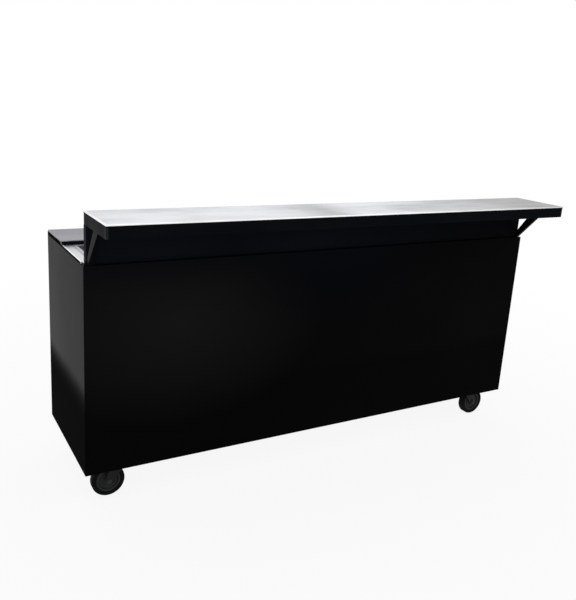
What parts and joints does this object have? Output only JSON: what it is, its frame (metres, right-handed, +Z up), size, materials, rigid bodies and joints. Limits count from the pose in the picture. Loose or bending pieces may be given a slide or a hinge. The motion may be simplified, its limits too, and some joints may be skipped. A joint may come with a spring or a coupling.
{
  "type": "refrigerated buffet counter",
  "caption": "Mobile refrigerated buffet counter: black steel cabinet on casters with a cold well, a raised bar shelf on the customer side and doors and machinery on the operator side.",
  "frame": {"origin": "on the floor under the middle of the object's box", "axes": "+X along the counter to the customers' right hand end, +Y from the customers to the operator, +Z up"},
  "size_m": [2.04, 0.786, 1.086],
  "materials": {
    "black_enamel": "gloss",
    "bar_laminate": "black laminate over a board core",
    "stainless": "brushed",
    "galvanised": "galvanised",
    "foam": "rigid foam, matte",
    "gasket_rubber": "matte",
    "tyre": "matte rubber",
    "wheel_core": "moulded",
    "caster_zinc": "zinc plated",
    "black_plastic": "moulded",
    "red_plastic": "moulded",
    "copper": "drawn pipe",
    "brass": "machined",
    "compressor_paint": "satin",
    "fin_aluminium": "mill"
  },
  "bodies": {
    "cabinet": {"front_panel": "black_enamel", "left_end_panel": "black_enamel", "right_end_panel": "black_enamel", "base_pan": "galvanised", "caster_rail_left": "galvanised", "caster_rail_right": "galvanised", "cabinet_foam": "foam", "storage_liner": "stainless", "storage_shelf": "stainless", "rear_frame": "stainless", "deck": "stainless", "rear_ledge": "stainless", "well_liner": "stainless", "well_insulation": "foam", "well_floor": "stainless", "evaporator_coil": "copper", "drain_valve": "brass", "bar_riser": "black_enamel", "bar_shelf": "bar_laminate", "bar_skin": "stainless", "brace_left": "black_enamel", "brace_right": "black_enamel", "control_fascia": "stainless", "louvre_panel": "stainless", "power_inlet": "black_plastic", "unit_base": "galvanised", "compressor": "compressor_paint", "condenser": "fin_aluminium", "fan_shroud": "galvanised", "fan_motor": "compressor_paint", "suction_line": "copper", "caster_plate_front_left": "caster_zinc", "caster_plate_rear_left": "caster_zinc", "caster_plate_front_right": "caster_zinc", "caster_plate_rear_right": "caster_zinc"},
    "left_door": {"door_left": "stainless", "gasket_left": "gasket_rubber", "handle_left": "stainless"},
    "right_door": {"door_right": "stainless", "gasket_right": "gasket_rubber", "handle_right": "stainless"},
    "thermostat": {"thermostat_knob": "black_plastic"},
    "switch": {"power_switch": "red_plastic"},
    "fan": {"fan_blade": "black_plastic"},
    "drain_handle": {"drain_lever": "red_plastic"},
    "fork_front_left": {"caster_fork_front_left": "caster_zinc"},
    "wheel_front_left": {"caster_wheel_front_left": "wheel_core", "caster_tyre_front_left": "tyre"},
    "fork_rear_left": {"caster_fork_rear_left": "caster_zinc"},
    "wheel_rear_left": {"caster_wheel_rear_left": "wheel_core", "caster_tyre_rear_left": "tyre"},
    "pedal_rear_left": {"brake_pedal_rear_left": "black_plastic"},
    "fork_front_right": {"caster_fork_front_right": "caster_zinc"},
    "wheel_front_right": {"caster_wheel_front_right": "wheel_core", "caster_tyre_front_right": "tyre"},
    "fork_rear_right": {"caster_fork_rear_right": "caster_zinc"},
    "wheel_rear_right": {"caster_wheel_rear_right": "wheel_core", "caster_tyre_rear_right": "tyre"},
    "pedal_rear_right": {"brake_pedal_rear_right": "black_plastic"}
  },
  "joints": [
    {"name": "left_door_hinge", "type": "hinge", "parent": "cabinet", "child": "left_door", "pos_m": [-0.989, 0.355, 0.45795], "axis": [0, 0, 1], "range_deg": [0, 105]},
    {"name": "right_door_hinge", "type": "hinge", "parent": "cabinet", "child": "right_door", "pos_m": [0.463, 0.355, 0.45795], "axis": [0, 0, -1], "range_deg": [0, 105]},
    {"name": "thermostat_turn", "type": "hinge", "parent": "cabinet", "child": "thermostat", "pos_m": [0.72, 0.3613, 0.822], "axis": [0, -1, 0], "range_deg": [-135, 135]},
    {"name": "switch_rock", "type": "hinge", "parent": "cabinet", "child": "switch", "pos_m": [0.81, 0.361, 0.822], "axis": [1, 0, 0], "range_deg": [-8, 8]},
    {"name": "fan_spin", "type": "hinge", "parent": "cabinet", "child": "fan", "pos_m": [0.697, 0.1987, 0.3362], "axis": [0, 1, 0], "continuous": true},
    {"name": "drain_turn", "type": "hinge", "parent": "cabinet", "child": "drain_handle", "pos_m": [0.8, 0.0438, 0.6657], "axis": [0, 1, 0], "range_deg": [0, 90]},
    {"name": "front_left_swivel", "type": "hinge", "parent": "cabinet", "child": "fork_front_left", "pos_m": [-0.88, -0.097, 0.1335], "axis": [0, 0, 1], "continuous": true},
    {"name": "front_left_roll", "type": "hinge", "parent": "fork_front_left", "child": "wheel_front_left", "pos_m": [-0.918, -0.097, 0.0625], "axis": [0, 1, 0], "continuous": true},
    {"name": "rear_left_swivel", "type": "hinge", "parent": "cabinet", "child": "fork_rear_left", "pos_m": [-0.88, 0.283, 0.1335], "axis": [0, 0, 1], "continuous": true},
    {"name": "rear_left_roll", "type": "hinge", "parent": "fork_rear_left", "child": "wheel_rear_left", "pos_m": [-0.918, 0.283, 0.0625], "axis": [0, 1, 0], "continuous": true},
    {"name": "rear_left_brake", "type": "hinge", "parent": "fork_rear_left", "child": "pedal_rear_left", "pos_m": [-0.968, 0.283, 0.119], "axis": [0, -1, 0], "range_deg": [0, 20]},
    {"name": "front_right_swivel", "type": "hinge", "parent": "cabinet", "child": "fork_front_right", "pos_m": [0.88, -0.097, 0.1335], "axis": [0, 0, 1], "continuous": true},
    {"name": "front_right_roll", "type": "hinge", "parent": "fork_front_right", "child": "wheel_front_right", "pos_m": [0.918, -0.097, 0.0625], "axis": [0, 1, 0], "continuous": true},
    {"name": "rear_right_swivel", "type": "hinge", "parent": "cabinet", "child": "fork_rear_right", "pos_m": [0.88, 0.283, 0.1335], "axis": [0, 0, 1], "continuous": true},
    {"name": "rear_right_roll", "type": "hinge", "parent": "fork_rear_right", "child": "wheel_rear_right", "pos_m": [0.918, 0.283, 0.0625], "axis": [0, 1, 0], "continuous": true},
    {"name": "rear_right_brake", "type": "hinge", "parent": "fork_rear_right", "child": "pedal_rear_right", "pos_m": [0.968, 0.283, 0.119], "axis": [0, 1, 0], "range_deg": [0, 20]}
  ]
}
